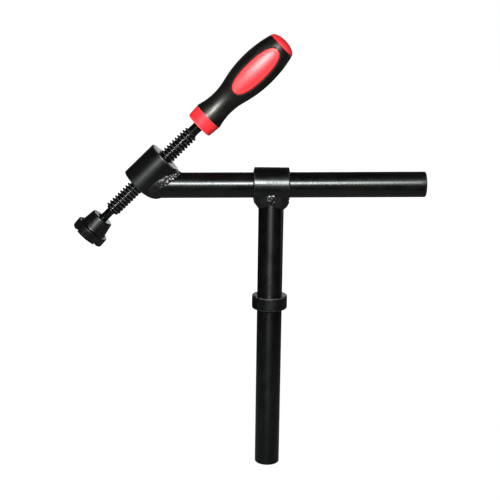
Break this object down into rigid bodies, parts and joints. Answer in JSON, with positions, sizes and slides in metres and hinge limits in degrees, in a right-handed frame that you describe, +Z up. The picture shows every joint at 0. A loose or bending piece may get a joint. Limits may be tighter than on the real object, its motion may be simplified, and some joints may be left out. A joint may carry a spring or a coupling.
{
  "type": "screw clamp",
  "caption": "Bar-mounted hold-down screw clamp: round post with stop collar, sliding arm, slanted screw with two-colour grip and swivel pad.",
  "frame": {"origin": "on the post's axis, on the underside of the stop collar", "axes": "+Z up along the post, +X along the arm away from the screw; the screw lies in the XZ plane"},
  "size_m": [0.3869, 0.041, 0.4874],
  "materials": {
    "bar_steel": "black oxide, drawn bar",
    "turned_steel": "black oxide, turned",
    "weld_steel": "blackened weld bead",
    "spring_wire": "oiled spring wire",
    "screw_steel": "black oxide, oiled",
    "pad_steel": "black oxide, matt",
    "red_plastic": "satin moulded",
    "soft_black": "soft overmould, fine matt grain"
  },
  "bodies": {
    "post": {"post": "bar_steel", "stop_collar": "turned_steel", "sleeve": "turned_steel", "post_weld": "weld_steel"},
    "arm": {"arm_bar": "bar_steel", "threaded_boss": "turned_steel", "arm_weld": "weld_steel"},
    "pad_ring": {"snap_ring": "spring_wire"},
    "screw": {"spindle": "screw_steel", "grip_core": "red_plastic", "grip_cover": "soft_black"},
    "pad": {"swivel_pad": "pad_steel"}
  },
  "joints": [
    {"name": "arm_slide", "type": "slide", "parent": "post", "child": "arm", "axis": [0.9999, 0, 0.0158], "range_m": [-0.148, 0.075]},
    {"name": "screw_feed", "type": "slide", "parent": "arm", "child": "pad_ring", "axis": [0.7144, 0, 0.6998], "range_m": [-0.048, 0.052]},
    {"name": "screw_turn", "type": "hinge", "parent": "pad_ring", "child": "screw", "pos_m": [-0.19453, 0, 0.09108], "axis": [0.7144, 0, 0.6998], "range_deg": [-4320, 4680]},
    {"name": "pad_tilt", "type": "hinge", "parent": "pad_ring", "child": "pad", "pos_m": [-0.19453, 0, 0.09108], "axis": [0, 1, 0], "range_deg": [0, 9]}
  ],
  "couplings": [
    {"joint": "screw_feed", "follows": "screw_turn", "m_per_rad": 0.00063662}
  ]
}
